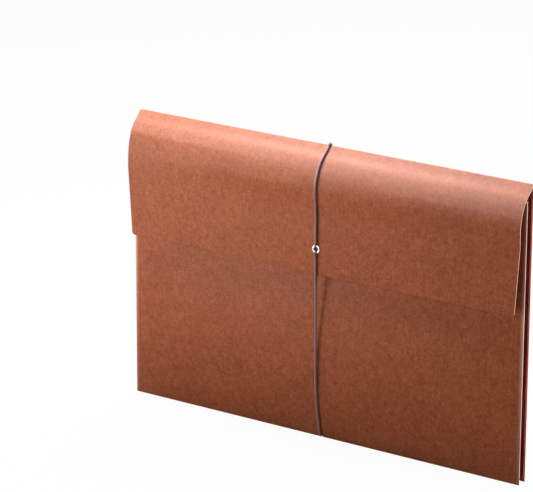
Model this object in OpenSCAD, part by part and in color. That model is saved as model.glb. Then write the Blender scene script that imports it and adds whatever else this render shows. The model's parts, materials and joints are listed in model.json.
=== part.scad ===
// Expanding file wallet of red paperboard, legal size, closed by an elastic cord.
// Millimetres. X runs across the width, the front faces -Y and the wallet stands on its bottom edges.

/* [Panels] */
// Width of the wallet
wallet_w = 381; // [300:1:420]
// Height from the bottom edges to the top of the flap ridge
wallet_h = 254; // [220:1:300]
// Thickness of the board
board_t = 0.6; // [0.5:0.05:0.8]
// Outside thickness of the pocket as it stands closed
pocket_t = 10; // [8:0.5:12]
// Distance of the front panel's ears below the flap score
ear_drop = 11; // [10:0.5:20]
// Width of each ear at its top
ear_w = 38; // [20:1:60]
// Depth of the step from an ear to the straight part of the top edge
ear_step = 9; // [4:0.5:14]
// Width over which an ear sweeps down to the straight part
ear_sweep = 16; // [8:1:30]
// Width of the thumb cut
thumb_w = 50; // [30:1:70]
// Depth of the thumb cut
thumb_depth = 20; // [10:1:24]

/* [Gusset] */
// Thickness of the gusset paper
gusset_t = 0.35; // [0.25:0.05:0.45]
// Width of one gusset leaf, from panel fold to inner crease
leaf_w = 25; // [20:0.5:30]
// Width of the flange that is glued to a panel
flange_w = 12; // [8:0.5:18]
// Distance of the side folds from the panels' side edges
side_inset = 1; // [0.8:0.1:3]
// Height of the bottom folds above the panels' bottom edges
bottom_inset = 2.2; // [2.1:0.1:4]
// Free space between two sheets that fold flat on each other
fold_gap = 0.1; // [0.08:0.01:0.2]
// Distance of each mitred leaf end from the corner's mitre line
mitre_gap = 0.8; // [0.6:0.1:2]

/* [Flap] */
// Radius of the rolled ridge at the flap score
ridge_r = 0.9; // [0.75:0.05:1]
// Width of each of the three scored strips
strip_w = 17.5; // [15:0.5:22]
// Length of the flap below its last score
flap_l = 60; // [45:1:80]
// Inset of each lower corner of the flap
flap_inset = 4; // [1:0.5:10]
// Corner radius of the flap's lower corners
flap_corner_r = 3; // [1:0.5:8]
// Lean of the first strip from straight up
strip_1_lean = 130; // [128:1:132]
// Lean of the second strip
strip_2_lean = 163; // [160:1:168]
// Lean of the third strip
strip_3_lean = 177; // [174:1:179]

/* [Eyelet] */
// Outer diameter of the eyelet's flange
eyelet_d = 8; // [6:0.5:10]
// Diameter of the eyelet's hole
eyelet_hole_d = 3.4; // [2.6:0.1:4]
// Outer diameter of the eyelet's barrel
eyelet_barrel_d = 4.4; // [4:0.1:5]
// Height of the flange above the board
eyelet_rise = 1; // [0.6:0.1:1.4]
// Height of the eyelet's centre above the flap's lower edge
eyelet_up = 22; // [12:1:35]
// Outer diameter of the washer behind the board
washer_d = 7; // [6:0.5:9]
// Thickness of the washer
washer_t = 0.5; // [0.3:0.1:0.8]

/* [Cord] */
// Diameter of the elastic cord
cord_d = 2.2; // [1.6:0.1:2.6]
// Height of the cord where it is pressed flat under the bottom edges
cord_flat = 1.2; // [0.8:0.1:1.3]
// Free space between the cord and what it lies on
cord_gap = 0.15; // [0.1:0.05:0.3]
// Diameter of the knot behind the eyelet
knot_d = 5; // [4:0.5:6]

/* [Hidden] */
$fn = 64;

board_red = "#9a5a3e";
gusset_red = "#7a2414";
nickel = "#c9c6bf";
brass = "#b08d4a";
mauve = "#7c4d48";

// Fold lines of the gusset: a bead of this radius lies on each fold axis.
fold_r = gusset_t + fold_gap;
fold_depth = board_t + gusset_t + fold_gap + fold_r;
fold_x = wallet_w / 2 - side_inset;
leaf_angle = asin((pocket_t - 2 * fold_depth) / (2 * leaf_w));
bead_clear = fold_r + fold_gap;
leaf_bottom = bottom_inset + fold_r + 0.5;

// Scores of the flap, worked out from the ridge forwards. Each place is [y, z].
score_z = wallet_h - ridge_r;
panel_top = score_z - ear_drop;
score_a = [-board_t / 2, score_z];
score_b = next_score(score_a, strip_1_lean);
score_c = next_score(score_b, strip_2_lean);
score_d = next_score(score_c, strip_3_lean);
flap_edge_z = score_d[1] - flap_l;
flap_face_y = score_d[0] - board_t / 2;
score_gap = board_t / 2 + 0.12;
ridge_gap = ridge_r + 0.25;
score_bead_r = board_t / 2;
eyelet_z = flap_edge_z + eyelet_up;

// Distance of the cord's centre line from the middle of the board that it lies on.
cord_off = board_t / 2 + cord_gap + cord_d / 2;
dent_r = cord_flat + 4 * cord_gap;

// The origin lies in the middle of the box around the closed wallet.
front_reach = flap_face_y - cord_gap - cord_d;
rear_reach = cord_gap + cord_d;
mid_y = (front_reach + rear_reach) / 2;

function next_score(from, lean) = from + strip_w * [-sin(lean), cos(lean)];
function along(from, lean, run, off) =
    from + run * [-sin(lean), cos(lean)] + off * [cos(lean), sin(lean)];

// Closes the right half of an outline, listed upwards, with its mirror image.
function both_sides(half) =
    concat(half, [for (i = [len(half) - 1 : -1 : 0]) [-half[i][0], half[i][1]]]);

module placed() {
    translate([0, -mid_y, 0]) children();
}

// Turns a flat outline, drawn in X and Z, into a sheet whose rear face is at y.
module sheet(y, thick) {
    translate([0, y, 0]) rotate([90, 0, 0]) linear_extrude(thick) children();
}

// Swaps the rear half of the gusset for the front half.
module front_half() {
    translate([0, -pocket_t, 0]) mirror([0, 1, 0]) children();
}

module right_half() {
    mirror([1, 0, 0]) children();
}

module bottom_dent() {
    translate([0, 1, 0]) rotate([90, 0, 0]) cylinder(r = dent_r, h = pocket_t + 2);
}

// One half of the front panel's top edge, from the thumb cut to the side.
sweep_steps = 16;
function ear_point(u) = [
    wallet_w / 2 - ear_w - ear_sweep * (1 - u),
    panel_top - ear_step * (1 + cos(180 * u)) / 2
];

module front_outline() {
    sweep = [for (i = [sweep_steps : -1 : 0]) ear_point(i / sweep_steps)];
    half = concat([[wallet_w / 2, 0], [wallet_w / 2, panel_top]], sweep);
    thumb_r = (pow(thumb_w / 2, 2) + pow(thumb_depth, 2)) / (2 * thumb_depth);
    difference() {
        polygon(both_sides(half));
        translate([0, panel_top - ear_step - thumb_depth + thumb_r]) circle(thumb_r, $fn = 128);
    }
}

module back_panel() {
    color(board_red) placed() difference() {
        sheet(0, board_t) translate([-wallet_w / 2, 0]) square([wallet_w, score_z - ridge_gap + 0.1]);
        bottom_dent();
    }
}

module front_panel() {
    color(board_red) placed() difference() {
        sheet(board_t - pocket_t, board_t) front_outline();
        bottom_dent();
    }
}

// Cross-section of a glued flange with the bead of its fold, rear side up, fold at the origin.
module flange_section() {
    translate([0, fold_r + fold_gap]) translate([-fold_r, 0]) square([flange_w + fold_r, gusset_t]);
    translate([-fold_r, 0]) square([fold_r, fold_r + fold_gap + gusset_t]);
    circle(fold_r, $fn = 24);
}

module side_flange() {
    translate([-fold_x, -fold_depth, leaf_bottom])
        linear_extrude(panel_top - leaf_bottom) flange_section();
}

// Side and bottom leaves have mitred ends where they meet, so that they clear each other at every opening.
module side_leaf(crease) {
    run = crease ? leaf_w : leaf_w - bead_clear;
    low = bottom_inset + mitre_gap;
    translate([-fold_x, -fold_depth, 0]) rotate(-leaf_angle) {
        rotate([90, 0, 0]) translate([0, 0, -fold_r]) linear_extrude(gusset_t)
            polygon([[bead_clear, low + bead_clear], [run, low + run], [run, panel_top], [bead_clear, panel_top]]);
        if (crease) translate([leaf_w, 0, low + leaf_w])
            cylinder(r = fold_r, h = panel_top - low - leaf_w, $fn = 24);
    }
}

module bottom_flange() {
    half = fold_x - flange_w - 1;
    translate([-half, -fold_depth, bottom_inset]) rotate([90, 0, 90]) linear_extrude(2 * half)
        rotate(90) mirror([0, 1]) flange_section();
}

module bottom_leaf(crease) {
    run = crease ? leaf_w : leaf_w - bead_clear;
    outer = fold_x - bead_clear - mitre_gap;
    inner = fold_x - run - mitre_gap;
    translate([0, -fold_depth, bottom_inset]) rotate([90 + leaf_angle, 0, 0]) {
        translate([0, 0, -fold_r]) linear_extrude(gusset_t)
            polygon([[-outer, bead_clear], [outer, bead_clear], [inner, run], [-inner, run]]);
        if (crease) translate([-inner, leaf_w, 0]) rotate([0, 90, 0])
            cylinder(r = fold_r, h = 2 * inner, $fn = 24);
    }
}

module left_rear_flange() { color(gusset_red) placed() side_flange(); }
module left_rear_leaf() { color(gusset_red) placed() side_leaf(true); }
module left_front_leaf() { color(gusset_red) placed() front_half() side_leaf(false); }
module left_front_flange() { color(gusset_red) placed() front_half() side_flange(); }
module right_rear_flange() { color(gusset_red) placed() right_half() side_flange(); }
module right_rear_leaf() { color(gusset_red) placed() right_half() side_leaf(true); }
module right_front_leaf() { color(gusset_red) placed() right_half() front_half() side_leaf(false); }
module right_front_flange() { color(gusset_red) placed() right_half() front_half() side_flange(); }
module bottom_rear_flange() { color(gusset_red) placed() bottom_flange(); }
module bottom_rear_leaf() { color(gusset_red) placed() bottom_leaf(true); }
module bottom_front_leaf() { color(gusset_red) placed() front_half() bottom_leaf(false); }
module bottom_front_flange() { color(gusset_red) placed() front_half() bottom_flange(); }

module flap_ridge() {
    color(board_red) placed() translate([-wallet_w / 2, score_a[0], score_a[1]])
        rotate([0, 90, 0]) cylinder(r = ridge_r, h = wallet_w);
}

// A scored strip, with the bead of the next score along its far edge.
module strip(from, lean, gap) {
    translate([0, from[0], from[1]]) rotate([lean, 0, 0]) {
        translate([-wallet_w / 2, -board_t / 2, gap]) cube([wallet_w, board_t, strip_w - gap]);
        translate([-wallet_w / 2, 0, strip_w]) rotate([0, 90, 0])
            cylinder(r = score_bead_r, h = wallet_w, $fn = 24);
    }
}

module flap_strip_1() { color(board_red) placed() strip(score_a, strip_1_lean, ridge_gap); }
module flap_strip_2() { color(board_red) placed() strip(score_b, strip_2_lean, score_gap); }
module flap_strip_3() { color(board_red) placed() strip(score_c, strip_3_lean, score_gap); }

// The flap's outline, with its rounded lower corners, drawn with the last score at zero.
corner_steps = 6;
module flap_outline() {
    low = wallet_w / 2 - flap_inset;
    side = atan2(flap_inset, flap_l - score_gap);
    reach = flap_corner_r * (1 - sin(side)) / cos(side);
    mid = [low - reach, -flap_l + flap_corner_r];
    corner = [for (i = [0 : corner_steps]) let (turn = -90 + (90 - side) * i / corner_steps)
        mid + flap_corner_r * [cos(turn), sin(turn)]];
    polygon(both_sides(concat(corner, [[wallet_w / 2, -score_gap]])));
}

module flap_panel() {
    color(board_red) placed() difference() {
        sheet(score_d[0] + board_t / 2, board_t) translate([0, score_d[1]]) flap_outline();
        translate([0, score_d[0] + 1, eyelet_z]) rotate([90, 0, 0])
            cylinder(d = eyelet_barrel_d + 0.2, h = board_t + 2);
    }
}

// The eyelet is a turned ring: a domed flange in front and a barrel through the board.
module eyelet() {
    ring = (eyelet_d - eyelet_hole_d) / 4;
    color(nickel) placed() translate([0, flap_face_y, eyelet_z]) rotate([90, 0, 0]) rotate_extrude() {
        intersection() {
            translate([eyelet_hole_d / 2 + ring, 0]) scale([ring, eyelet_rise]) circle(1);
            translate([0, 0]) square([eyelet_d, eyelet_d]);
        }
        translate([eyelet_hole_d / 2, -board_t - washer_t])
            square([(eyelet_barrel_d - eyelet_hole_d) / 2, board_t + washer_t + eyelet_rise / 2]);
    }
}

module eyelet_washer() {
    color(brass) placed() translate([0, score_d[0] + board_t / 2 + washer_t, eyelet_z]) rotate([90, 0, 0])
        linear_extrude(washer_t) difference() {
            circle(d = washer_d);
            circle(d = eyelet_barrel_d + 0.2);
        }
}

// A round cord swept along points [y, z] in the plane x = 0, with its half height at each point.
cord_sides = 8;
module cord_tube(route, halves) {
    last = len(route) - 1;
    rings = [for (i = [0 : last])
        let (ahead = route[min(i + 1, last)] - route[max(i - 1, 0)],
             dir = ahead / norm(ahead), side = [-dir[1], dir[0]])
        [for (j = [0 : cord_sides - 1]) let (turn = 360 * (j + 0.5) / cord_sides, out = halves[i] * sin(turn))
            [cord_d / 2 * cos(turn), route[i][0] + out * side[0], route[i][1] + out * side[1]]]];
    points = [for (ring = rings) each ring];
    walls = [for (i = [0 : last - 1], j = [0 : cord_sides - 1]) let (k = (j + 1) % cord_sides)
        each [[i * cord_sides + j, (i + 1) * cord_sides + k, i * cord_sides + k],
              [i * cord_sides + j, (i + 1) * cord_sides + j, (i + 1) * cord_sides + k]]];
    caps = [[for (j = [0 : cord_sides - 1]) j], [for (j = [cord_sides - 1 : -1 : 0]) last * cord_sides + j]];
    polyhedron(points, concat(walls, caps));
}

function round_halves(route) = [for (p = route) cord_d / 2];

// The back run goes down the back panel and flattens under its bottom edge.
back_y = cord_gap + cord_d / 2;
flat_z = cord_gap + cord_flat / 2;
back_top = score_z - 20;
back_route = [
    [back_y, back_top], [back_y, 160], [back_y, 80], [back_y, 12], [back_y, 6],
    [back_y - 0.1, 3.2], [back_y - 0.3, 1.75], [back_y - 0.8, 1.05], [back_y - 1.25, flat_z + 0.05],
    [-1, flat_z], [-2.5, flat_z], [-pocket_t / 2 + 0.3, flat_z]
];
flat = cord_flat / 2;
back_halves = [1.1, 1.1, 1.1, 1.1, 1.1, 1.1, 0.9, 0.7, 0.62, flat, flat, flat];

// The front run leaves the bottom edge, slants out to the flap's lower edge and tucks up behind the flap.
front_y = -pocket_t - cord_gap - cord_d / 2;
edge_y = flap_face_y - cord_gap - cord_d / 2;
front_top = flap_edge_z + 62;
front_route = [
    [-pocket_t / 2 - 0.3, flat_z], [-pocket_t + 2.5, flat_z], [-pocket_t + 1, flat_z],
    [front_y + 1.25, flat_z + 0.05], [front_y + 0.8, 1.05], [front_y + 0.3, 1.75], [front_y + 0.1, 3.2],
    [front_y, 6],
    [(2 * front_y + edge_y) / 3, flap_edge_z / 3], [(front_y + 2 * edge_y) / 3, flap_edge_z * 2 / 3],
    [edge_y + 1.5, flap_edge_z - 8], [edge_y + 2.6, flap_edge_z - 3.5], [edge_y + 5, flap_edge_z],
    [front_y - 1.2, flap_edge_z + 6], [front_y - 0.2, flap_edge_z + 14], [front_y, flap_edge_z + 24],
    [front_y, front_top]
];
front_halves = [flat, flat, flat, 0.62, 0.7, 0.9, 1.1, 1.1, 1.1, 1.1, 1.1, 1.1, 1.1, 1.1, 1.1, 1.1, 1.1];

// The bend comes up the back panel and goes over the ridge in an arc about the flap score.
bend_r = ridge_r + cord_gap + cord_d / 2;
bend_steps = 8;
bend_from = -84;
bend_to = strip_1_lean - 90 - 14;
bend_route = concat([[back_y, back_top + 0.3], [back_y, score_z - 8], [back_y + 0.2, score_z - 3]],
    [for (i = [0 : bend_steps]) let (turn = bend_from + (bend_to - bend_from) * i / bend_steps)
        score_a + bend_r * [-sin(turn), cos(turn)]]);

module run_on_board(from, lean, start, stop) {
    route = [for (i = [0 : 2]) along(from, lean, start + (stop - start) * i / 2, cord_off)];
    cord_tube(route, round_halves(route));
}

strip_cord_gap = 0.6;
module cord_back_run() { color(mauve) placed() cord_tube(back_route, back_halves); }
module cord_ridge_bend() { color(mauve) placed() cord_tube(bend_route, round_halves(bend_route)); }
module cord_strip_1() {
    color(mauve) placed() run_on_board(score_a, strip_1_lean, ridge_r + 1.2, strip_w - 0.1);
}
module cord_strip_2() {
    color(mauve) placed() run_on_board(score_b, strip_2_lean, strip_cord_gap, strip_w - 0.1);
}
module cord_strip_3() {
    color(mauve) placed() run_on_board(score_c, strip_3_lean, strip_cord_gap, strip_w - 0.1);
}
module cord_flap_run() {
    color(mauve) placed() run_on_board(score_d, 180, strip_cord_gap, score_d[1] - eyelet_z - eyelet_d / 2 - cord_gap);
}
module cord_flap_tail() {
    color(mauve) placed()
        run_on_board(score_d, 180, score_d[1] - eyelet_z + eyelet_d / 2 + cord_gap, flap_l - 1);
}
module cord_front_run() { color(mauve) placed() cord_tube(front_route, front_halves); }

// Both ends of the cord are tied in a flat knot behind the washer.
module cord_knot() {
    color(mauve) placed() translate([0, score_d[0] + board_t / 2 + washer_t + cord_gap, eyelet_z])
        rotate([-90, 0, 0]) rotate_extrude() intersection() {
            translate([0, cord_d / 2]) scale([knot_d / cord_d, 1]) circle(d = cord_d);
            square([knot_d, cord_d]);
        }
}

back_panel();
front_panel();
left_rear_flange();
left_rear_leaf();
left_front_leaf();
left_front_flange();
right_rear_flange();
right_rear_leaf();
right_front_leaf();
right_front_flange();
bottom_rear_flange();
bottom_rear_leaf();
bottom_front_leaf();
bottom_front_flange();
flap_ridge();
flap_strip_1();
flap_strip_2();
flap_strip_3();
flap_panel();
eyelet();
eyelet_washer();
cord_back_run();
cord_ridge_bend();
cord_strip_1();
cord_strip_2();
cord_strip_3();
cord_flap_run();
cord_flap_tail();
cord_front_run();
cord_knot();
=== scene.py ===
# Expanding file wallet of red paperboard, closed, with its elastic cord round it.
# Sizes are in metres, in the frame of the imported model: the front faces -Y, Z is up.
import json
import math

import bmesh
import bpy
from mathutils import Matrix, Vector


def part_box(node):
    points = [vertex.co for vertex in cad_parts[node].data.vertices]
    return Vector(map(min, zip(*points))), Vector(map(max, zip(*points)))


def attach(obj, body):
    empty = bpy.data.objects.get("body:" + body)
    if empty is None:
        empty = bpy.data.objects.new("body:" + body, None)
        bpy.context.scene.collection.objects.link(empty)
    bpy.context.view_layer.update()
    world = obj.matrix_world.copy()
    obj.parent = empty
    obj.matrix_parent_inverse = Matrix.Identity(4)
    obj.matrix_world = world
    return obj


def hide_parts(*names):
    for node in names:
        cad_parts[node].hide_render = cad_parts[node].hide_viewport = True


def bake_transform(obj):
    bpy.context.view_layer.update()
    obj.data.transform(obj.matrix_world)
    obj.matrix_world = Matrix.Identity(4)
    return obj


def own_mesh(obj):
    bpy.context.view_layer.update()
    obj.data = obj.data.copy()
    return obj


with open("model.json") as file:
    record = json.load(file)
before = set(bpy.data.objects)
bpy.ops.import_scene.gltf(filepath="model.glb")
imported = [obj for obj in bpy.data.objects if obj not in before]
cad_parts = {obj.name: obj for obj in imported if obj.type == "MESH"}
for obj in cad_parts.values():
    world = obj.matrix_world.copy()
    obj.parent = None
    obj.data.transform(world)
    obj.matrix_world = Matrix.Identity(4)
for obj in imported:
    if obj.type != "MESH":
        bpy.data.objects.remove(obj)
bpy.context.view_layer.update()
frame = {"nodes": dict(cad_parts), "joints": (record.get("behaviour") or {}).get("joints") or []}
nodes = frame["nodes"]
scene = bpy.context.scene
scene.view_settings.view_transform = "Standard"


# Camera: a long lens to the right of the wallet and a little above it, with no shift.
# Its place and turn were fitted to the wallet's corners in an image of 533 by 492.
camera_place = Vector((1.3312, -2.1077, 1.0118))
camera_turn = math.radians(33.345)
camera_drop = math.radians(18.676)
camera_roll = math.radians(0.19)
forward = Vector((
    -math.sin(camera_turn) * math.cos(camera_drop),
    math.cos(camera_turn) * math.cos(camera_drop),
    -math.sin(camera_drop),
))
level = Vector((math.cos(camera_turn), math.sin(camera_turn), 0))
upright = level.cross(forward)
rolled_level = level * math.cos(camera_roll) + upright * math.sin(camera_roll)
rolled_upright = upright * math.cos(camera_roll) - level * math.sin(camera_roll)
camera_matrix = Matrix((rolled_level, rolled_upright, -forward)).transposed().to_4x4()
camera_matrix.translation = camera_place
lens = bpy.data.cameras.new("camera")
lens.sensor_fit = "HORIZONTAL"
lens.sensor_width = 36.0
lens.lens = 215.04
lens.clip_end = 20.0
camera = bpy.data.objects.new("camera", lens)
camera.matrix_world = camera_matrix
scene.collection.objects.link(camera)
scene.camera = camera


# Back panel: the flat rear half of the wallet's scored sheet of red paperboard.
# The board is dyed through, with a mottled, fibrous face and paler cut edges, whose colour also holds
# a painted highlight; a painted highlight also runs along the panels' side edges.
board_dark = (0.19, 0.043, 0.013, 1)
board_mid = (0.28, 0.068, 0.021, 1)
board_light = (0.39, 0.105, 0.036, 1)
# The speck colour below is the colour of dark fibre specks, and also of the painted shade in creases.
board_speck_and_shade = (0.115, 0.024, 0.009, 1)
board_cut_and_highlight = (0.9, 0.62, 0.5, 1)
edge_highlight_from = 0.1866
edge_highlight_to = 0.1905
speck_scale = 330
speck_share = 0.6
cut_and_highlight_share = 0.8
crease_share = 0.7
thread_relief = 0.25


def feed(tree, socket, value):
    if isinstance(value, bpy.types.NodeSocket):
        tree.links.new(value, socket)
    else:
        socket.default_value = value


def put(tree, kind, **sockets):
    made = tree.nodes.new(kind)
    for name, value in sockets.items():
        feed(tree, made.inputs[name.replace("_", " ")], value)
    return made


def math_node(tree, operation, first, second=0.0):
    made = tree.nodes.new("ShaderNodeMath")
    made.operation = operation
    feed(tree, made.inputs[0], first)
    feed(tree, made.inputs[1], second)
    return made.outputs[0]


def weighted_sum(tree, layers):
    parts = [math_node(tree, "MULTIPLY", layer, share) for layer, share in layers]
    total = parts[0]
    for part in parts[1:]:
        total = math_node(tree, "ADD", total, part)
    return total


def remap(tree, value, start, end, low=0.0, high=1.0):
    made = put(tree, "ShaderNodeMapRange", Value=value,
               From_Min=start, From_Max=end, To_Min=low, To_Max=high)
    return made.outputs[0]


def mix_colour(tree, factor, first, second):
    made = tree.nodes.new("ShaderNodeMix")
    made.data_type = "RGBA"
    factor_input, first_input, second_input, colour_output = 0, 6, 7, 2
    feed(tree, made.inputs[factor_input], factor)
    feed(tree, made.inputs[first_input], first)
    feed(tree, made.inputs[second_input], second)
    return made.outputs[colour_output]


def colour_ramp(tree, factor, stops):
    made = put(tree, "ShaderNodeValToRGB", Fac=factor)
    ramp = made.color_ramp
    while len(ramp.elements) < len(stops):
        ramp.elements.new(0.5)
    for element, (place, colour) in zip(ramp.elements, stops):
        element.position = place
        element.color = colour
    return made.outputs["Color"]


def new_material(name):
    material = bpy.data.materials.new(name)
    material.use_nodes = True
    tree = material.node_tree
    return material, tree, tree.nodes["Principled BSDF"]


def noise(tree, coords, scale, detail, roughness=0.6):
    made = put(tree, "ShaderNodeTexNoise", Vector=coords,
               Scale=scale, Detail=detail, Roughness=roughness)
    return made.outputs["Fac"]


def stretched(tree, coords, scale):
    return put(tree, "ShaderNodeMapping", Vector=coords, Scale=scale).outputs[0]


def read_attribute(tree, name):
    made = tree.nodes.new("ShaderNodeAttribute")
    made.attribute_name = name
    return made.outputs["Fac"]


def add_bump(tree, shader, height, strength, distance):
    bump = put(tree, "ShaderNodeBump", Strength=strength, Distance=distance, Height=height)
    tree.links.new(bump.outputs[0], shader.inputs["Normal"])


def red_board(name, cut_sides=False, creased=False):
    material, tree, shader = new_material(name)
    place = put(tree, "ShaderNodeTexCoord")
    coords = place.outputs["Object"]
    cloud = noise(tree, coords, scale=26, detail=4)
    mottle = noise(tree, coords, scale=210, detail=3)
    grain = noise(tree, coords, scale=560, detail=5, roughness=0.72)
    streak = noise(tree, stretched(tree, coords, (1, 1, 0.16)), scale=480, detail=3)
    thread = noise(tree, stretched(tree, coords, (0.14, 1, 1)), scale=900, detail=3)
    layers = ((cloud, 0.1), (mottle, 0.24), (grain, 0.5), (streak, 0.12), (thread, 0.04))
    shade = weighted_sum(tree, layers)
    colour = colour_ramp(tree, shade, ((0.39, board_dark), (0.5, board_mid), (0.62, board_light)))
    cells = put(tree, "ShaderNodeTexVoronoi", Vector=coords, Scale=speck_scale)
    chosen = put(tree, "ShaderNodeSeparateColor", Color=cells.outputs["Color"]).outputs[0]
    near = remap(tree, cells.outputs["Distance"], start=0.12, end=0.34, low=1, high=0)
    rare = remap(tree, chosen, start=0.7, end=0.95)
    speck = math_node(tree, "MULTIPLY", near, rare)
    colour = mix_colour(tree, math_node(tree, "MULTIPLY", speck, speck_share), colour, board_speck_and_shade)
    # Cut faces take the paler edge colour, brightened further as a painted highlight.
    if cut_sides:
        facing = put(tree, "ShaderNodeSeparateXYZ", Vector=place.outputs["Normal"]).outputs["Y"]
        side = remap(tree, math_node(tree, "ABSOLUTE", facing), start=0.4, end=0.8, low=1, high=0)
        # Painted highlight: the face is paler near the panels' left and right edges, more so higher up,
        # standing in for light caught where the edge curls back.
        across = put(tree, "ShaderNodeSeparateXYZ", Vector=coords)
        to_edge = remap(tree, math_node(tree, "ABSOLUTE", across.outputs["X"]), edge_highlight_from, edge_highlight_to)
        highlight_by_height = remap(tree, across.outputs["Z"], start=0.02, end=0.13, low=0.2, high=0.62)
        side_edge_highlight = math_node(tree, "MULTIPLY", math_node(tree, "POWER", to_edge, 2.0), highlight_by_height)
        colour = mix_colour(tree, side_edge_highlight, colour, board_cut_and_highlight)
        colour = mix_colour(tree, math_node(tree, "MULTIPLY", side, cut_and_highlight_share), colour, board_cut_and_highlight)
    # Painted shade: the scores and the flap's lower edge are darkened with the speck colour.
    if creased:
        crease = math_node(tree, "MULTIPLY", read_attribute(tree, "crease"), crease_share)
        colour = mix_colour(tree, crease, colour, board_speck_and_shade)
    tree.links.new(colour, shader.inputs["Base Color"])
    gloss = remap(tree, grain, start=0.3, end=0.7, low=0.38, high=0.5)
    tree.links.new(gloss, shader.inputs["Roughness"])
    shader.inputs["Specular IOR Level"].default_value = 0.1
    relief = math_node(tree, "ADD", grain, math_node(tree, "MULTIPLY", thread, thread_relief))
    add_bump(tree, shader, relief, strength=0.3, distance=0.0001)
    return material


def finish_node(node, material):
    mesh = nodes[node].data
    mesh.materials.clear()
    mesh.materials.append(material)


panel_board = red_board("panel_board", cut_sides=True)
finish_node("back_panel", panel_board)


# Front panel: a second sheet of the same board, cut at its top edge with two ears and a thumb cut.
# It is glued to the front flanges of the gussets. Between them the sheet bows out a little,
# most at a quarter of its height, with a dent that leaves room for the cord's knot.
panel_bow = 0.0083
bow_crest_z = 0.06
bow_end_z = 0.2
bow_fullness = 0.75
knot_dent = 0.02
panel_cell = 0.009
weld_gap = 0.000005
cut_gap = 0.000002
flat_turn = math.radians(1)
rim_limit = 0.7
panel_low, panel_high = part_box("front_panel")
knot_low, knot_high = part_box("cord_knot")
knot_middle = (knot_low + knot_high) / 2


def bow_of(x, z):
    across = max(0.0, 1 - (x / panel_high.x) ** 2) ** bow_fullness
    if z < bow_crest_z:
        return panel_bow * across * math.sin(math.pi / 2 * max(0.0, z / bow_crest_z))
    past = min(1.0, (z - bow_crest_z) / (bow_end_z - bow_crest_z))
    to_knot = math.hypot(x, z - knot_middle.z) / knot_dent
    return panel_bow * across * math.cos(math.pi / 2 * past) ** 2 * (1 - math.exp(-to_knot ** 2))


def cut_into_cells(shape, axis, low, high):
    facing = Vector((0, 0, 0))
    facing[axis] = 1
    cuts = math.ceil((high - low) / panel_cell)
    for i in range(1, cuts):
        place = Vector((0, 0, 0))
        place[axis] = low + (high - low) * i / cuts
        everything = shape.verts[:] + shape.edges[:] + shape.faces[:]
        bmesh.ops.bisect_plane(shape, geom=everything, dist=cut_gap, plane_co=place, plane_no=facing)


def add_piece(name, mesh, *materials):
    for material in materials:
        mesh.materials.append(material)
    piece = bpy.data.objects.new(name, mesh)
    scene.collection.objects.link(piece)
    return piece


def bowed_panel(name):
    shape = bmesh.new()
    shape.from_mesh(nodes["front_panel"].data)
    bmesh.ops.remove_doubles(shape, verts=shape.verts, dist=weld_gap)
    bmesh.ops.dissolve_limit(shape, angle_limit=flat_turn, verts=shape.verts, edges=shape.edges)
    cut_into_cells(shape, 0, panel_low.x, panel_high.x)
    cut_into_cells(shape, 2, panel_low.z, panel_high.z)
    for face in shape.faces:
        face.smooth = abs(face.normal.y) > rim_limit
    for edge in shape.edges:
        edge.smooth = len({face.smooth for face in edge.link_faces}) == 1
    for vertex in shape.verts:
        vertex.co.y -= bow_of(vertex.co.x, vertex.co.z)
    bmesh.ops.triangulate(shape, faces=shape.faces)
    mesh = bpy.data.meshes.new(name)
    shape.to_mesh(mesh)
    shape.free()
    return add_piece(name, mesh, panel_board)


bowed_front = bowed_panel("front_sheet")
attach(bowed_front, "front")
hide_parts("front_panel")


# Gussets: dark red paper folded into one inward pleat at each side and at the bottom.
# Each has two leaves and two flanges, which are glued to the insides of the panels.
paper_dark = (0.115, 0.011, 0.005, 1)
paper_mid = (0.22, 0.024, 0.01, 1)
paper_light = (0.34, 0.05, 0.022, 1)


def gusset_paper(name):
    material, tree, shader = new_material(name)
    coords = put(tree, "ShaderNodeTexCoord").outputs["Object"]
    cloud = noise(tree, coords, scale=40, detail=4)
    grain = noise(tree, coords, scale=900, detail=4, roughness=0.7)
    shade = weighted_sum(tree, ((cloud, 0.55), (grain, 0.45)))
    colour = colour_ramp(tree, shade, ((0.34, paper_dark), (0.5, paper_mid), (0.68, paper_light)))
    tree.links.new(colour, shader.inputs["Base Color"])
    gloss = remap(tree, cloud, start=0.3, end=0.7, low=0.3, high=0.46)
    tree.links.new(gloss, shader.inputs["Roughness"])
    add_bump(tree, shader, grain, strength=0.25, distance=0.0001)
    return material


pleat_paper = gusset_paper("pleat_paper")
for side in ("left", "right", "bottom"):
    for part in ("rear_flange", "rear_leaf", "front_leaf", "front_flange"):
        finish_node(f"{side}_{part}", pleat_paper)


# Flap: the rest of the back panel's sheet, rolled forward over a ridge and bent at three scores.
# Its board curves over the scores, so it is one sheet in three stretches, each across one score.
finish_node("flap_ridge", red_board("ridge_board"))
joint_place = {joint["name"]: Vector(joint["pos_m"]) for joint in frame["joints"]}
scores = [joint_place[name] for name in ("flap", "score_b", "score_c", "score_d")]
flap_edge = Vector((0, scores[3].y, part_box("flap_panel")[0].z))
board_half = (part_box("back_panel")[1].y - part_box("back_panel")[0].y) / 2
flap_half_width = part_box("flap_strip_1")[1].x
flap_taper = 0.004
flap_corner = 0.003
bend_radii = (0.024, 0.05, 0.12)
ridge_radius = 0.0009
ridge_blend = 0.007
roll_puff = 0.0026
roll_reach = 0.054
roll_middle = 0.04
roll_spread = 0.235
wave_reach = 0.1
slow_wave = 0.00022
slow_length = 0.27
slow_start = 0.7
quick_wave = 0.0001
quick_length = 0.11
quick_slant = 40
flap_columns = 96
corner_steps = 7
corner_clear = 0.0002
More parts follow.
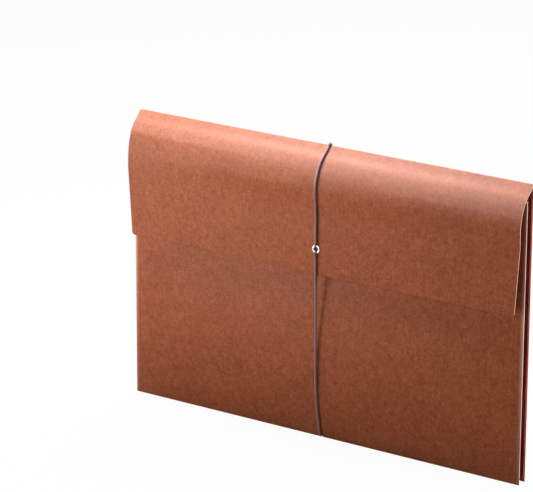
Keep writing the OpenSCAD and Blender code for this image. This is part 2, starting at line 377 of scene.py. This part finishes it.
# Painted shadow: the flap's lowest rows are darkened into a faint line along its lower edge.
edge_shadow_mark = 0.5
edge_shadow_band = 0.0004
eyelet_low, eyelet_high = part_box("eyelet")
eyelet_place = (eyelet_low + eyelet_high) / 2
eyelet_bore = 0.0023
punch_sides = 40
punch_depth = 0.02


def outward(direction):
    return Vector((0, direction.z, -direction.y))


def straight_rows(start, end, step):
    count = max(1, math.ceil((end - start).length / step))
    facing = outward((end - start).normalized())
    return [(start.lerp(end, i / count), facing) for i in range(count)]


def bent_rows(start, corner, end, radius, step=0.003, bend_steps=14):
    before = (corner - start).normalized()
    after = (end - corner).normalized()
    turn = before.angle(after)
    cut = radius * math.tan(turn / 2)
    first = corner - before * cut
    last = corner + after * cut
    middle = first - outward(before) * radius
    rows = straight_rows(start, first, step)
    for i in range(bend_steps):
        direction = before.slerp(after, i / bend_steps)
        rows.append((middle + outward(direction) * radius, outward(direction)))
    rows += straight_rows(last, end, step)
    rows.append((end, outward(after)))
    return rows, first, last


def half_width(z):
    below = max(0.0, (scores[3].z - z) / (scores[3].z - flap_edge.z))
    half = flap_half_width - flap_taper * below
    into_corner = flap_edge.z + flap_corner - z
    if into_corner > 0:
        half -= flap_corner - math.sqrt(max(0.0, flap_corner ** 2 - into_corner ** 2))
    return half


def board_wave(x, z):
    drop = max(0.0, scores[0].z - z)
    slow = math.sin(x * 2 * math.pi / slow_length + slow_start) - math.sin(slow_start)
    quick = math.sin(x * 2 * math.pi / quick_length + z * quick_slant) - math.sin(z * quick_slant)
    wave = min(1.0, drop / wave_reach) * (slow_wave * slow + quick_wave * quick)
    along = (x - roll_middle) / roll_spread
    puff = roll_puff * math.sin(math.pi * min(1.0, drop / roll_reach)) ** 2 * (1 - along * along)
    return wave + puff


def outer_face(place):
    past = min(1.0, (place - scores[0]).length / ridge_blend)
    return ridge_radius + (board_half - ridge_radius) * past * past * (3 - 2 * past)


def sheet_mesh(name, rows):
    verts = []
    faces = []
    kinds = []
    row_count = len(rows)
    columns = flap_columns + 1
    for outside in (True, False):
        for place, facing in rows:
            half = half_width(place.z)
            depth = outer_face(place) if outside else -board_half
            for c in range(columns):
                x = half * (2 * c / flap_columns - 1)
                shift = facing * (depth + board_wave(x, place.z))
                verts.append((x, place.y + shift.y, place.z + shift.z))
    inner = row_count * columns

    def face(corners, cut):
        faces.append(corners)
        kinds.append(1 if cut else 0)

    for r in range(row_count - 1):
        for c in range(flap_columns):
            a = r * columns + c
            b = a + columns
            face((a, b, b + 1, a + 1), False)
            face((inner + a, inner + a + 1, inner + b + 1, inner + b), False)
    for r in range(row_count - 1):
        a = r * columns
        b = a + columns
        face((a, inner + a, inner + b, b), True)
        a += flap_columns
        b += flap_columns
        face((a, b, inner + b, inner + a), True)
    for c in range(flap_columns):
        face((c, c + 1, inner + c + 1, inner + c), True)
        a = (row_count - 1) * columns + c
        face((a, inner + a, inner + a + 1, a + 1), True)
    mesh = bpy.data.meshes.new(name)
    mesh.from_pydata(verts, [], faces)
    mesh.polygons.foreach_set("material_index", kinds)
    mesh.polygons.foreach_set("use_smooth", [kind == 0 for kind in kinds])
    mesh.update()
    sides = {}
    for polygon in mesh.polygons:
        for edge in polygon.edge_keys:
            sides.setdefault(edge, set()).add(kinds[polygon.index])
    for edge in mesh.edges:
        edge.use_edge_sharp = len(sides[edge.key]) == 2
    return mesh


# The flap's cut edges: paler board, brightened further as a painted highlight.
def cut_edge(name):
    material, tree, shader = new_material(name)
    coords = put(tree, "ShaderNodeTexCoord").outputs["Object"]
    fibres = noise(tree, coords, scale=1400, detail=4, roughness=0.7)
    colour = colour_ramp(tree, fibres, ((0.35, board_light), (0.6, board_cut_and_highlight)))
    tree.links.new(colour, shader.inputs["Base Color"])
    shader.inputs["Roughness"].default_value = 0.7
    return material


# Painted shade: a dark line along each score on the flap's inside face, and a fainter painted shadow
# along its lower edge.
def mark_creases(mesh, rows, corner):
    nearest = min(range(len(rows)), key=lambda r: (rows[r][0] - corner).length)
    columns = flap_columns + 1
    inner = len(rows) * columns
    shade_marks = mesh.attributes.new("crease", "FLOAT", "POINT")
    for index in range(2 * inner):
        row = index % inner // columns
        if index >= inner and row == nearest:
            shade_marks.data[index].value = 1.0
        elif rows[row][0].z < flap_edge.z + edge_shadow_band:
            shade_marks.data[index].value = edge_shadow_mark


def round_corners(rows):
    kept = [row for row in rows if row[0].z > flap_edge.z + flap_corner + corner_clear]
    for i in range(corner_steps + 1):
        angle = i * math.pi / (2 * corner_steps)
        z = flap_edge.z + flap_corner * (1 - math.sin(angle))
        kept.append((Vector((0, flap_edge.y, z)), Vector((0, -1, 0))))
    return kept


def punch_hole(piece):
    bpy.ops.mesh.primitive_cylinder_add(
        vertices=punch_sides, radius=eyelet_bore, depth=punch_depth,
        location=(0, scores[3].y, eyelet_place.z), rotation=(math.pi / 2, 0, 0))
    punch = bpy.context.object
    punching = piece.modifiers.new("punch", "BOOLEAN")
    punching.object = punch
    punching.solver = "EXACT"
    depsgraph = bpy.context.evaluated_depsgraph_get()
    punched = bpy.data.meshes.new_from_object(piece.evaluated_get(depsgraph))
    piece.modifiers.clear()
    piece.data = punched
    bpy.data.objects.remove(punch)


flap_board = red_board("flap_board", creased=True)
flap_cut = cut_edge("flap_cut")
middle_2 = (scores[1] + scores[2]) / 2
middle_3 = (scores[2] + scores[3]) / 2
stretches = (
    ("flap_upper", scores[0], scores[1], middle_2, ("strip_1", "strip_2"),
     ("flap_strip_1", "flap_strip_2")),
    ("flap_middle", middle_2, scores[2], middle_3, ("strip_2", "strip_3"), ("flap_strip_3",)),
    ("flap_lower", middle_3, scores[3], flap_edge, ("strip_3", "flap_end"), ("flap_panel",)),
)
flap_rows = {}
for (name, start, corner, end, bodies, stood_for), radius in zip(stretches, bend_radii):
    rows, first, last = bent_rows(start, corner, end, radius)
    if name == "flap_lower":
        rows = round_corners(rows)
    flap_rows[name] = rows
    piece = add_piece(name, sheet_mesh(name, rows), flap_board, flap_cut)
    mark_creases(piece.data, rows, corner)
    if name == "flap_lower":
        punch_hole(piece)
    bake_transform(piece)
    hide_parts(*stood_for)


# Eyelet: a nickel-plated ring with a domed flange, set through the flap with a brass washer behind.
# It holds both ends of the cord. Shade is painted in as dark brown in the bore and at the foot of the
# flange.
painted_shade_brown = (0.07, 0.04, 0.03, 1)
painted_shade_share = 0.9
stain_shade = 0.72
eyelet_radius = (eyelet_high.x - eyelet_low.x) / 2


def plated(name, tint, roughness):
    material, tree, shader = new_material(name)
    coords = put(tree, "ShaderNodeTexCoord").outputs["Object"]
    scratch = noise(tree, stretched(tree, coords, (1, 1, 6)), scale=1600, detail=4, roughness=0.7)
    stain = noise(tree, coords, scale=420, detail=3)
    stained = (*(stain_shade * part for part in tint[:3]), 1)
    colour = colour_ramp(tree, stain, ((0.35, stained), (0.65, tint)))
    axis = put(tree, "ShaderNodeMapping", Vector=coords,
               Location=(0, 0, -eyelet_place.z), Scale=(1, 0, 1))
    off_axis = put(tree, "ShaderNodeVectorMath")
    off_axis.operation = "LENGTH"
    tree.links.new(axis.outputs[0], off_axis.inputs[0])
    out = math_node(tree, "DIVIDE", off_axis.outputs["Value"], eyelet_radius)
    # Painted shade: dark in the bore and at the foot of the flange, clean between.
    shaded = (1, 1, 1, 1)
    unshaded = (0, 0, 0, 1)
    painted_shade = colour_ramp(tree, out, ((0.5, shaded), (0.64, unshaded), (0.8, unshaded), (0.94, shaded)))
    painted_shade = math_node(tree, "MULTIPLY", painted_shade, painted_shade_share)
    colour = mix_colour(tree, painted_shade, colour, painted_shade_brown)
    tree.links.new(colour, shader.inputs["Base Color"])
    shader.inputs["Metallic"].default_value = 1.0
    gloss = remap(tree, scratch, start=0, end=1, low=roughness * 0.6, high=roughness * 1.4)
    tree.links.new(gloss, shader.inputs["Roughness"])
    add_bump(tree, shader, scratch, strength=0.15, distance=0.00003)
    return material


finish_node("eyelet", plated("nickel_plate", tint=(0.8, 0.78, 0.74, 1), roughness=0.24))
finish_node("eyelet_washer", plated("plain_brass", tint=(0.62, 0.42, 0.16, 1), roughness=0.34))


# Cord: one braided elastic cord round the wallet, tied in a knot behind the eyelet.
# It lies on the outside of the flap and the back, and is pressed flat under the bottom edges.
# Its front run goes on behind the flap, so that the cord stays whole when the pocket opens.
cord_radius = 0.00096
cord_lift = 0.0001
ring_spacing = 0.0004
ring_sides = 24
braid_strands = 4.0
braid_pitch = 0.0034
braid_relief = 0.00006
cord_dark = (0.036, 0.0088, 0.0066, 1)
cord_light = (0.195, 0.074, 0.065, 1)


def braid_tree():
    tree = bpy.data.node_groups.new("braided_cord", "GeometryNodeTree")
    sockets = {}
    for name, kind in (("Geometry", "NodeSocketGeometry"), ("Radius", "NodeSocketFloat"),
                       ("Ring spacing", "NodeSocketFloat"), ("Strands", "NodeSocketFloat"),
                       ("Pitch", "NodeSocketFloat"), ("Relief", "NodeSocketFloat"),
                       ("Run before", "NodeSocketFloat"), ("Material", "NodeSocketMaterial")):
        sockets[name] = tree.interface.new_socket(name, in_out="INPUT", socket_type=kind).identifier
    tree.interface.new_socket("Geometry", in_out="OUTPUT", socket_type="NodeSocketGeometry")
    given = tree.nodes.new("NodeGroupInput").outputs
    smooth = put(tree, "GeometryNodeCurveSplineType", Curve=given["Geometry"])
    smooth.spline_type = "CATMULL_ROM"
    rings = put(tree, "GeometryNodeResampleCurve", Curve=smooth.outputs[0])
    rings.mode = "LENGTH"
    tree.links.new(given["Ring spacing"], rings.inputs["Length"])
    along = put(tree, "GeometryNodeSplineParameter")
    run = math_node(tree, "ADD", along.outputs["Length"], given["Run before"])
    marked = put(tree, "GeometryNodeStoreNamedAttribute", Geometry=rings.outputs[0], Name="run",
                 Value=run)
    circle = put(tree, "GeometryNodeCurvePrimitiveCircle", Resolution=ring_sides,
                 Radius=given["Radius"])
    around = put(tree, "GeometryNodeSplineParameter")
    ring = put(tree, "GeometryNodeStoreNamedAttribute", Geometry=circle.outputs[0], Name="turn",
               Value=around.outputs["Factor"])
    width = put(tree, "GeometryNodeInputRadius")
    tube = put(tree, "GeometryNodeCurveToMesh", Curve=marked.outputs[0], Profile_Curve=ring.outputs[0],
               Scale=width.outputs[0], Fill_Caps=True)
    run_read = put(tree, "GeometryNodeInputNamedAttribute", Name="run").outputs["Attribute"]
    turn_read = put(tree, "GeometryNodeInputNamedAttribute", Name="turn").outputs["Attribute"]
    steps = math_node(tree, "DIVIDE", run_read, given["Pitch"])
    strands = math_node(tree, "MULTIPLY", turn_read, given["Strands"])
    waves = []
    for operation in ("ADD", "SUBTRACT"):
        phase = math_node(tree, operation, strands, steps)
        waves.append(math_node(tree, "SINE", math_node(tree, "MULTIPLY", phase, 2 * math.pi)))
    weave = math_node(tree, "MAXIMUM", waves[0], waves[1])
    woven = put(tree, "GeometryNodeStoreNamedAttribute", Geometry=tube.outputs[0], Name="weave",
                Value=weave)
    facing = put(tree, "GeometryNodeInputNormal")
    push = tree.nodes.new("ShaderNodeVectorMath")
    push.operation = "SCALE"
    tree.links.new(facing.outputs[0], push.inputs[0])
    lift = math_node(tree, "MULTIPLY", weave, given["Relief"])
    tree.links.new(lift, push.inputs["Scale"])
    raised = put(tree, "GeometryNodeSetPosition", Geometry=woven.outputs[0], Offset=push.outputs[0])
    rounded = put(tree, "GeometryNodeSetShadeSmooth", Geometry=raised.outputs[0])
    real = put(tree, "GeometryNodeRealizeInstances", Geometry=rounded.outputs[0])
    dressed = put(tree, "GeometryNodeSetMaterial", Geometry=real.outputs[0], Material=given["Material"])
    result = tree.nodes.new("NodeGroupOutput")
    tree.links.new(dressed.outputs[0], result.inputs[0])
    return tree, sockets


def braided_elastic(name):
    material, tree, shader = new_material(name)
    weave = read_attribute(tree, "weave")
    coords = put(tree, "ShaderNodeTexCoord").outputs["Object"]
    fuzz = noise(tree, coords, scale=2600, detail=3, roughness=0.7)
    shade = weighted_sum(tree, ((weave, 0.4), (fuzz, 0.6)))
    colour = colour_ramp(tree, shade, ((0.2, cord_dark), (0.72, cord_light)))
    tree.links.new(colour, shader.inputs["Base Color"])
    shader.inputs["Roughness"].default_value = 0.62
    shader.inputs["Sheen Weight"].default_value = 0.25
    add_bump(tree, shader, fuzz, strength=0.3, distance=0.00008)
    return material


cord_tree, cord_sockets = braid_tree()
cord_braid = braided_elastic("cord_braid")
cord_run = 0.0


def cord_piece(name, route, widths=None, radius=cord_radius, closed=False):
    global cord_run
    curve = bpy.data.curves.new(name + "_route", "CURVE")
    curve.dimensions = "3D"
    spline = curve.splines.new("POLY")
    spline.points.add(len(route) - 1)
    spline.use_cyclic_u = closed
    for i, place in enumerate(route):
        spline.points[i].co = (*place, 1)
        spline.points[i].radius = widths[i] if widths else 1.0
    drawn = bpy.data.objects.new(name + "_route", curve)
    scene.collection.objects.link(drawn)
    braid = drawn.modifiers.new("braid", "NODES")
    braid.node_group = cord_tree
    for socket, value in (("Radius", radius), ("Ring spacing", ring_spacing),
                          ("Strands", braid_strands), ("Pitch", braid_pitch), ("Relief", braid_relief),
                          ("Run before", cord_run), ("Material", cord_braid)):
        braid[cord_sockets[socket]] = value
    depsgraph = bpy.context.evaluated_depsgraph_get()
    mesh = bpy.data.meshes.new_from_object(drawn.evaluated_get(depsgraph))
    mesh.name = name
    bpy.data.objects.remove(drawn)
    piece = add_piece(name, mesh)
    cord_run += sum((b - a).length for a, b in zip(route, route[1:]))
    return piece


# What goes through mm() is in millimetres, as are the faces and runs that it starts from.
back_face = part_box("back_panel")[1].y * 1000
front_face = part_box("front_panel")[0].y * 1000
between = (back_face + front_face) / 2
ridge_mm = scores[0] * 1000
bend_mm = 2.15
gap_mm = 0.15
stand_off = cord_radius * 1000 + gap_mm
flat_mm = 0.75
meet_mm = 0.05
flat_share = 0.54
flat_ease = 0.0008
flat_below = 0.004
table_clear = 0.0001


def mm(y, z):
    return Vector((0, y / 1000, z / 1000))


def press_flat(piece):
    middle_z = flat_mm / 1000
    for vertex in piece.data.vertices:
        past = max(front_face / 1000 - vertex.co.y, vertex.co.y - back_face / 1000, 0.0)
        keep = flat_share + (1 - flat_share) * min(1.0, past / flat_ease)
        if vertex.co.z < flat_below:
            vertex.co.z = max(table_clear, middle_z + (vertex.co.z - middle_z) * keep)


def over_ridge(degrees):
    turn = math.radians(degrees)
    return mm(ridge_mm.y - bend_mm * math.sin(turn), ridge_mm.z + bend_mm * math.cos(turn))


back_run_y = back_face + stand_off
up_to_ridge = ((0, 232.9), (0, 241), (0.1, 248), (0.3, 251))
ridge_route = [mm(back_run_y + out, z) for out, z in up_to_ridge]
ridge_route.append(over_ridge(-72))
ridge_cord = cord_piece("cord_to_ridge", ridge_route)
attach(ridge_cord, "back")

crest_route = [over_ridge(angle) for angle in (-78, -58, -38, -18, 2, 24, 46)]
crest_route += [over_ridge(66) + mm(0.1, -0.1), over_ridge(86) + mm(0.2, -0.3)]
crest_cord = cord_piece("cord_over_ridge", crest_route)
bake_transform(crest_cord)
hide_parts("cord_ridge_bend")

lie_on = board_half + cord_lift + cord_radius
ridge_clear = 0.004
eyelet_clear = 0.008


def lying_on(rows):
    return [place + facing * (lie_on + board_wave(0, place.z)) for place, facing in rows]


upper_route = [crest_route[-1]]
for place in lying_on(flap_rows["flap_upper"]):
    if (place - scores[0]).length > ridge_clear:
        upper_route.append(place)
upper_cord = cord_piece("cord_upper", upper_route)
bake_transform(upper_cord)
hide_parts("cord_strip_1", "cord_strip_2")

middle_cord = cord_piece("cord_middle", lying_on(flap_rows["flap_middle"]))
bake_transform(middle_cord)
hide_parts("cord_strip_3")

flap_face = flap_edge.y - board_half
into_eyelet = (
    (0.0052, 0.0014, 1.0), (0.004, 0.0019, 0.95), (0.0029, 0.002, 0.85),
    (0.0019, 0.0015, 0.7), (0.0012, 0.0003, 0.6), (0.00105, -0.001, 0.57),
)
lower_route = []
lower_widths = []
for place in lying_on(flap_rows["flap_lower"]):
    if place.z > eyelet_place.z + eyelet_clear:
        lower_route.append(place)
        lower_widths.append(1.0)
for up, off, width in into_eyelet:
    lower_route.append(Vector((0, flap_face - off, eyelet_place.z + up)))
    lower_widths.append(width)
lower_cord = cord_piece("cord_lower", lower_route, lower_widths)
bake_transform(lower_cord)
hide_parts("cord_flap_run")

tail_route = []
tail_widths = []
for down, off, width in reversed(into_eyelet):
    tail_route.append(Vector((0, flap_face - off, eyelet_place.z - down)))
    tail_widths.append(width)
down_the_flap = (
    (0.1605, 0, 1.0), (0.154, 0, 1.0), (0.149, 0, 1.0),
    (0.146, 0.00005, 1.0), (0.1432, 0.0002, 0.95), (0.1404, 0.0005, 0.8),
)
for z, inward, width in down_the_flap:
    tail_route.append(Vector((0, flap_face - cord_lift - cord_radius + inward, z)))
    tail_widths.append(width)
tail_cord = cord_piece("cord_tail", tail_route, tail_widths)
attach(tail_cord, "flap_end")
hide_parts("cord_flap_tail")

front_run_y = front_face - stand_off
edge_run_y = flap_face * 1000 - stand_off
edge_mm = flap_edge.z * 1000
past_edge = (
    (4.9, 62), (4.7, 56), (4.2, 30), (3.3, 8),
    (2.8, 1), (1.9, -2.5), (0.85, -6.5), (0.75, -11),
)
on_panel = (
    (0, 58), (0, 50), (0, 42), (0, 34), (0, 26),
    (0, 19), (0, 12), (0, 6), (0.1, 3.2), (0.3, 1.75),
)
front_route = [mm(edge_run_y + inward, edge_mm + up) for inward, up in past_edge]
front_route.append(mm(edge_run_y + 1.1, 98))
for inward, z in on_panel:
    front_route.append(mm(front_run_y + inward - 1000 * bow_of(0, z / 1000), z))
front_route += [
    mm(front_run_y + 0.8, 1.05), mm(front_run_y + 1.25, flat_mm + 0.05),
    mm(front_face + 1, flat_mm), mm(front_face + 2.5, flat_mm), mm(between - meet_mm, flat_mm),
]
front_cord = cord_piece("cord_front", front_route)
press_flat(front_cord)
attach(front_cord, "front")
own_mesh(front_cord)
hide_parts("cord_front_run")

up_the_back = (
    (-0.8, 1.05), (-0.3, 1.75), (-0.1, 3.2), (0, 6), (0, 12), (0, 80), (0, 160), (0, 233.1),
)
back_route = [
    mm(between + meet_mm, flat_mm), mm(back_face - 2.5, flat_mm), mm(back_face - 1, flat_mm),
    mm(back_run_y - 1.25, flat_mm + 0.05),
]
back_route += [mm(back_run_y + out, z) for out, z in up_the_back]
back_cord = cord_piece("cord_back", back_route)
press_flat(back_cord)
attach(back_cord, "back")
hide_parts("cord_back_run")

knot_strand = 0.0006
knot_points = 60
knot_reach = 3
knot_scale = ((knot_high.x - knot_low.x) / 2 - knot_strand) / knot_reach
knot_depth = (knot_high.y - knot_low.y) / 2 - knot_strand
knot_route = []
for i in range(knot_points):
    turn = 2 * math.pi * i / knot_points
    knot_route.append(knot_middle + Vector((
        knot_scale * (math.sin(turn) + 2 * math.sin(2 * turn)),
        knot_depth * math.sin(3 * turn),
        knot_scale * (math.cos(turn) - 2 * math.cos(2 * turn)),
    )))
knot = cord_piece("cord_tied_knot", knot_route, radius=knot_strand, closed=True)
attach(knot, "flap_end")
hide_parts("cord_knot")


# Studio: a white table and white surroundings, which the camera and reflections see as white,
# but for a faint shadow on the table. Softboxes hang over the wallet and stand at its left, right
# and rear; two more only show in its gloss.
plain_white = (1, 1, 1, 1)
table_grey = (0.4, 0.4, 0.4, 1)
table_glow = 0.95
table_reach = 6.0
dim_light = 0.06


def white_to_camera(tree):
    path = put(tree, "ShaderNodeLightPath")
    seen = math_node(tree, "MAXIMUM", path.outputs["Is Camera Ray"], path.outputs["Is Glossy Ray"])
    return math_node(tree, "MAXIMUM", seen, path.outputs["Is Transmission Ray"])


table_white, tree, shader = new_material("table_white")
shader.inputs["Base Color"].default_value = table_grey
shader.inputs["Roughness"].default_value = 0.9
shader.inputs["Specular IOR Level"].default_value = 0.0
glow = put(tree, "ShaderNodeEmission", Color=plain_white, Strength=1.0)
share = math_node(tree, "MULTIPLY", white_to_camera(tree), table_glow)
blend_shader = put(tree, "ShaderNodeMixShader", Fac=share)
tree.links.new(shader.outputs[0], blend_shader.inputs[1])
tree.links.new(glow.outputs[0], blend_shader.inputs[2])
tree.links.new(blend_shader.outputs[0], tree.nodes["Material Output"].inputs["Surface"])
table_mesh = bpy.data.meshes.new("table")
table_mesh.from_pydata(
    [(-table_reach, -table_reach, 0), (table_reach, -table_reach, 0),
     (table_reach, table_reach, 0), (-table_reach, table_reach, 0)], [], [(0, 1, 2, 3)])
table = add_piece("table", table_mesh, table_white)

world = bpy.data.worlds.new("surroundings")
scene.world = world
world.use_nodes = True
tree = world.node_tree
dim = tree.nodes["Background"]
dim.inputs["Color"].default_value = plain_white
dim.inputs["Strength"].default_value = dim_light
bright = put(tree, "ShaderNodeBackground", Color=plain_white, Strength=1.0)
mixed = put(tree, "ShaderNodeMixShader", Fac=white_to_camera(tree))
tree.links.new(dim.outputs[0], mixed.inputs[1])
tree.links.new(bright.outputs[0], mixed.inputs[2])
tree.links.new(mixed.outputs[0], tree.nodes["World Output"].inputs["Surface"])


def softbox(name, place, aim, width, height, power, spread=180, gloss_only=False):
    light = bpy.data.lights.new(name, "AREA")
    light.shape = "RECTANGLE"
    light.size = width
    light.size_y = height
    light.energy = power
    light.spread = math.radians(spread)
    lamp = bpy.data.objects.new(name, light)
    lamp.location = place
    lamp.rotation_euler = (Vector(aim) - Vector(place)).to_track_quat("-Z", "Y").to_euler()
    lamp.visible_diffuse = not gloss_only
    scene.collection.objects.link(lamp)


softbox("overhead_softbox", place=(-0.48, 0.2, 1.2), aim=(0, 0, 0.24), width=1.2, height=0.35,
        power=46)
softbox("left_softbox", place=(-0.75, -0.55, 0.3), aim=(-0.3, 0, 0.4), width=0.7, height=0.7,
        power=2.2, spread=44)
softbox("right_softbox", place=(1.1, 0.15, 0.5), aim=(0.19, 0, 0.15), width=0.5, height=0.5,
        power=12)
softbox("rear_softbox", place=(0.6, 1.3, 0.9), aim=(0, 0, 0.13), width=0.8, height=0.8, power=10)
softbox("roll_gloss_top", place=(-0.5, -0.12, 1.15), aim=(0, 0, 0.24), width=1.3, height=0.35,
        power=42, gloss_only=True)
softbox("roll_gloss_front", place=(-0.5, -0.65, 0.75), aim=(0, 0, 0.24), width=1.3, height=0.3,
        power=42, gloss_only=True)
